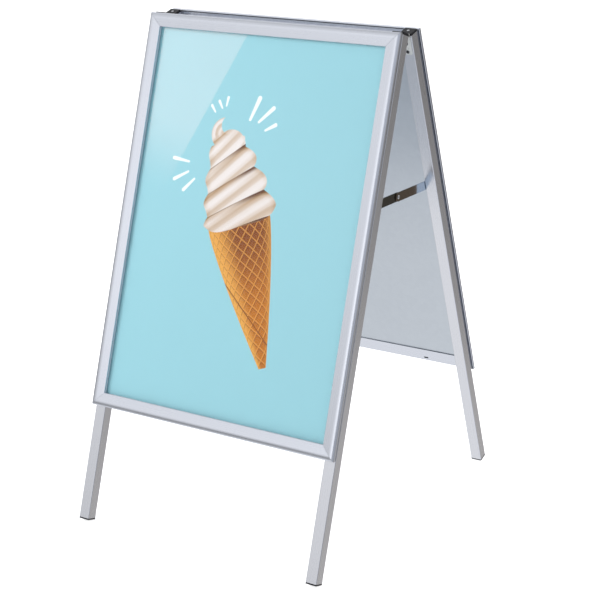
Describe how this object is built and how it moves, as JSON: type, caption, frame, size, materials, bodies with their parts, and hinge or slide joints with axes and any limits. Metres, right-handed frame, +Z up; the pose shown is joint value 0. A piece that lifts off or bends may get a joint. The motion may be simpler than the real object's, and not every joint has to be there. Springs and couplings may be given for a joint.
{
  "type": "sandwich board",
  "caption": "Free-standing A-shaped double-sided poster board: two mitred snap-open aluminium frames on rectangular tube legs, hinged along the top, with folding side stays.",
  "frame": {"origin": "on the ground, in the middle of the open board's footprint", "axes": "+X to the right of the front panel, parallel to the fold axis; -Y out of the front; +Z up"},
  "size_m": [0.644, 0.778, 1.1074],
  "materials": {
    "tube_aluminium": "satin anodised, extruded",
    "base_aluminium": "satin anodised, extruded",
    "snap_aluminium": "satin anodised, extruded",
    "galvanised_sheet": "galvanised, faint horizontal brushing",
    "hinge_steel": "zinc plated",
    "stay_steel": "zinc plated",
    "rivet_steel": "zinc plated",
    "key_steel": "zinc plated",
    "cap_plastic": "moulded, matt",
    "poster_print": "printed paper",
    "clear_cover": "clear, glossy"
  },
  "bodies": {
    "front_panel": {"front_leg_left": "tube_aluminium", "front_top_cap_left": "cap_plastic", "front_foot_cap_left": "cap_plastic", "front_hinge_leaf_left": "hinge_steel", "front_leg_right": "tube_aluminium", "front_top_cap_right": "cap_plastic", "front_foot_cap_right": "cap_plastic", "front_hinge_leaf_right": "hinge_steel", "front_base_rail_top": "base_aluminium", "front_base_rail_bottom": "base_aluminium", "front_base_rail_left": "base_aluminium", "front_base_rail_right": "base_aluminium", "front_corner_key_top_left": "key_steel", "front_corner_key_top_right": "key_steel", "front_corner_key_bottom_left": "key_steel", "front_corner_key_bottom_right": "key_steel", "front_back_panel": "galvanised_sheet", "front_poster": "poster_print", "front_cover_sheet": "clear_cover", "hinge_pin_left": "hinge_steel", "stay_end_rivet_front_left": "rivet_steel", "hinge_pin_right": "hinge_steel", "stay_end_rivet_front_right": "rivet_steel"},
    "rear_panel": {"rear_leg_left": "tube_aluminium", "rear_top_cap_left": "cap_plastic", "rear_foot_cap_left": "cap_plastic", "rear_hinge_leaf_left": "hinge_steel", "rear_leg_right": "tube_aluminium", "rear_top_cap_right": "cap_plastic", "rear_foot_cap_right": "cap_plastic", "rear_hinge_leaf_right": "hinge_steel", "rear_base_rail_top": "base_aluminium", "rear_base_rail_bottom": "base_aluminium", "rear_base_rail_left": "base_aluminium", "rear_base_rail_right": "base_aluminium", "rear_corner_key_top_left": "key_steel", "rear_corner_key_top_right": "key_steel", "rear_corner_key_bottom_left": "key_steel", "rear_corner_key_bottom_right": "key_steel", "rear_back_panel": "galvanised_sheet", "rear_poster": "poster_print", "rear_cover_sheet": "clear_cover", "stay_end_rivet_rear_left": "rivet_steel", "stay_end_rivet_rear_right": "rivet_steel"},
    "stay_front_left": {"stay_arm_front_left": "stay_steel"},
    "stay_rear_left": {"stay_arm_rear_left": "stay_steel", "stay_centre_rivet_left": "rivet_steel"},
    "stay_front_right": {"stay_arm_front_right": "stay_steel"},
    "stay_rear_right": {"stay_arm_rear_right": "stay_steel", "stay_centre_rivet_right": "rivet_steel"},
    "snap_front_top": {"front_snap_rail_top": "snap_aluminium"},
    "snap_front_bottom": {"front_snap_rail_bottom": "snap_aluminium"},
    "snap_front_left": {"front_snap_rail_left": "snap_aluminium"},
    "snap_front_right": {"front_snap_rail_right": "snap_aluminium"},
    "snap_rear_top": {"rear_snap_rail_top": "snap_aluminium"},
    "snap_rear_bottom": {"rear_snap_rail_bottom": "snap_aluminium"},
    "snap_rear_left": {"rear_snap_rail_left": "snap_aluminium"},
    "snap_rear_right": {"rear_snap_rail_right": "snap_aluminium"}
  },
  "joints": [
    {"name": "fold", "type": "hinge", "parent": "front_panel", "child": "rear_panel", "pos_m": [0, 0, 1.0948], "axis": [-1, 0, 0], "range_deg": [0, 36.4]},
    {"name": "stay_front_left_pivot", "type": "hinge", "parent": "front_panel", "child": "stay_front_left", "pos_m": [-0.2894, -0.13179, 0.75], "axis": [1, 0, 0], "range_deg": [0, 64.2]},
    {"name": "stay_rear_left_pivot", "type": "hinge", "parent": "rear_panel", "child": "stay_rear_left", "pos_m": [-0.2917, 0.13179, 0.75], "axis": [-1, 0, 0], "range_deg": [0, 64.2]},
    {"name": "stay_front_right_pivot", "type": "hinge", "parent": "front_panel", "child": "stay_front_right", "pos_m": [0.2894, -0.13179, 0.75], "axis": [1, 0, 0], "range_deg": [0, 64.2]},
    {"name": "stay_rear_right_pivot", "type": "hinge", "parent": "rear_panel", "child": "stay_rear_right", "pos_m": [0.2917, 0.13179, 0.75], "axis": [-1, 0, 0], "range_deg": [0, 64.2]},
    {"name": "snap_front_top_pivot", "type": "hinge", "parent": "front_panel", "child": "snap_front_top", "pos_m": [0, -0.03451, 1.10478], "axis": [-1, 0, 0], "range_deg": [0, 90], "stiffness_Nm_per_rad": 0.3, "springref_deg": -28.65},
    {"name": "snap_front_bottom_pivot", "type": "hinge", "parent": "front_panel", "child": "snap_front_bottom", "pos_m": [0, -0.3123, 0.25987], "axis": [1, 0, 0], "range_deg": [0, 90], "stiffness_Nm_per_rad": 0.3, "springref_deg": -28.65},
    {"name": "snap_front_left_pivot", "type": "hinge", "parent": "front_panel", "child": "snap_front_left", "pos_m": [-0.3212, -0.17341, 0.68233], "axis": [0, -0.3123, -0.95], "range_deg": [0, 90], "stiffness_Nm_per_rad": 0.3, "springref_deg": -28.65},
    {"name": "snap_front_right_pivot", "type": "hinge", "parent": "front_panel", "child": "snap_front_right", "pos_m": [0.3212, -0.17341, 0.68233], "axis": [0, 0.3123, 0.95], "range_deg": [0, 90], "stiffness_Nm_per_rad": 0.3, "springref_deg": -28.65},
    {"name": "snap_rear_top_pivot", "type": "hinge", "parent": "rear_panel", "child": "snap_rear_top", "pos_m": [0, 0.03451, 1.10478], "axis": [1, 0, 0], "range_deg": [0, 90], "stiffness_Nm_per_rad": 0.3, "springref_deg": -28.65},
    {"name": "snap_rear_bottom_pivot", "type": "hinge", "parent": "rear_panel", "child": "snap_rear_bottom", "pos_m": [0, 0.3123, 0.25987], "axis": [-1, 0, 0], "range_deg": [0, 90], "stiffness_Nm_per_rad": 0.3, "springref_deg": -28.65},
    {"name": "snap_rear_left_pivot", "type": "hinge", "parent": "rear_panel", "child": "snap_rear_left", "pos_m": [-0.3212, 0.17341, 0.68233], "axis": [0, -0.3123, 0.95], "range_deg": [0, 90], "stiffness_Nm_per_rad": 0.3, "springref_deg": -28.65},
    {"name": "snap_rear_right_pivot", "type": "hinge", "parent": "rear_panel", "child": "snap_rear_right", "pos_m": [0.3212, 0.17341, 0.68233], "axis": [0, 0.3123, -0.95], "range_deg": [0, 90], "stiffness_Nm_per_rad": 0.3, "springref_deg": -28.65}
  ],
  "couplings": [
    {"joint": "stay_front_left_pivot", "follows": "fold", "ratio": 1.7629},
    {"joint": "stay_rear_left_pivot", "follows": "fold", "ratio": 1.7629},
    {"joint": "stay_front_right_pivot", "follows": "fold", "ratio": 1.7629},
    {"joint": "stay_rear_right_pivot", "follows": "fold", "ratio": 1.7629}
  ]
}
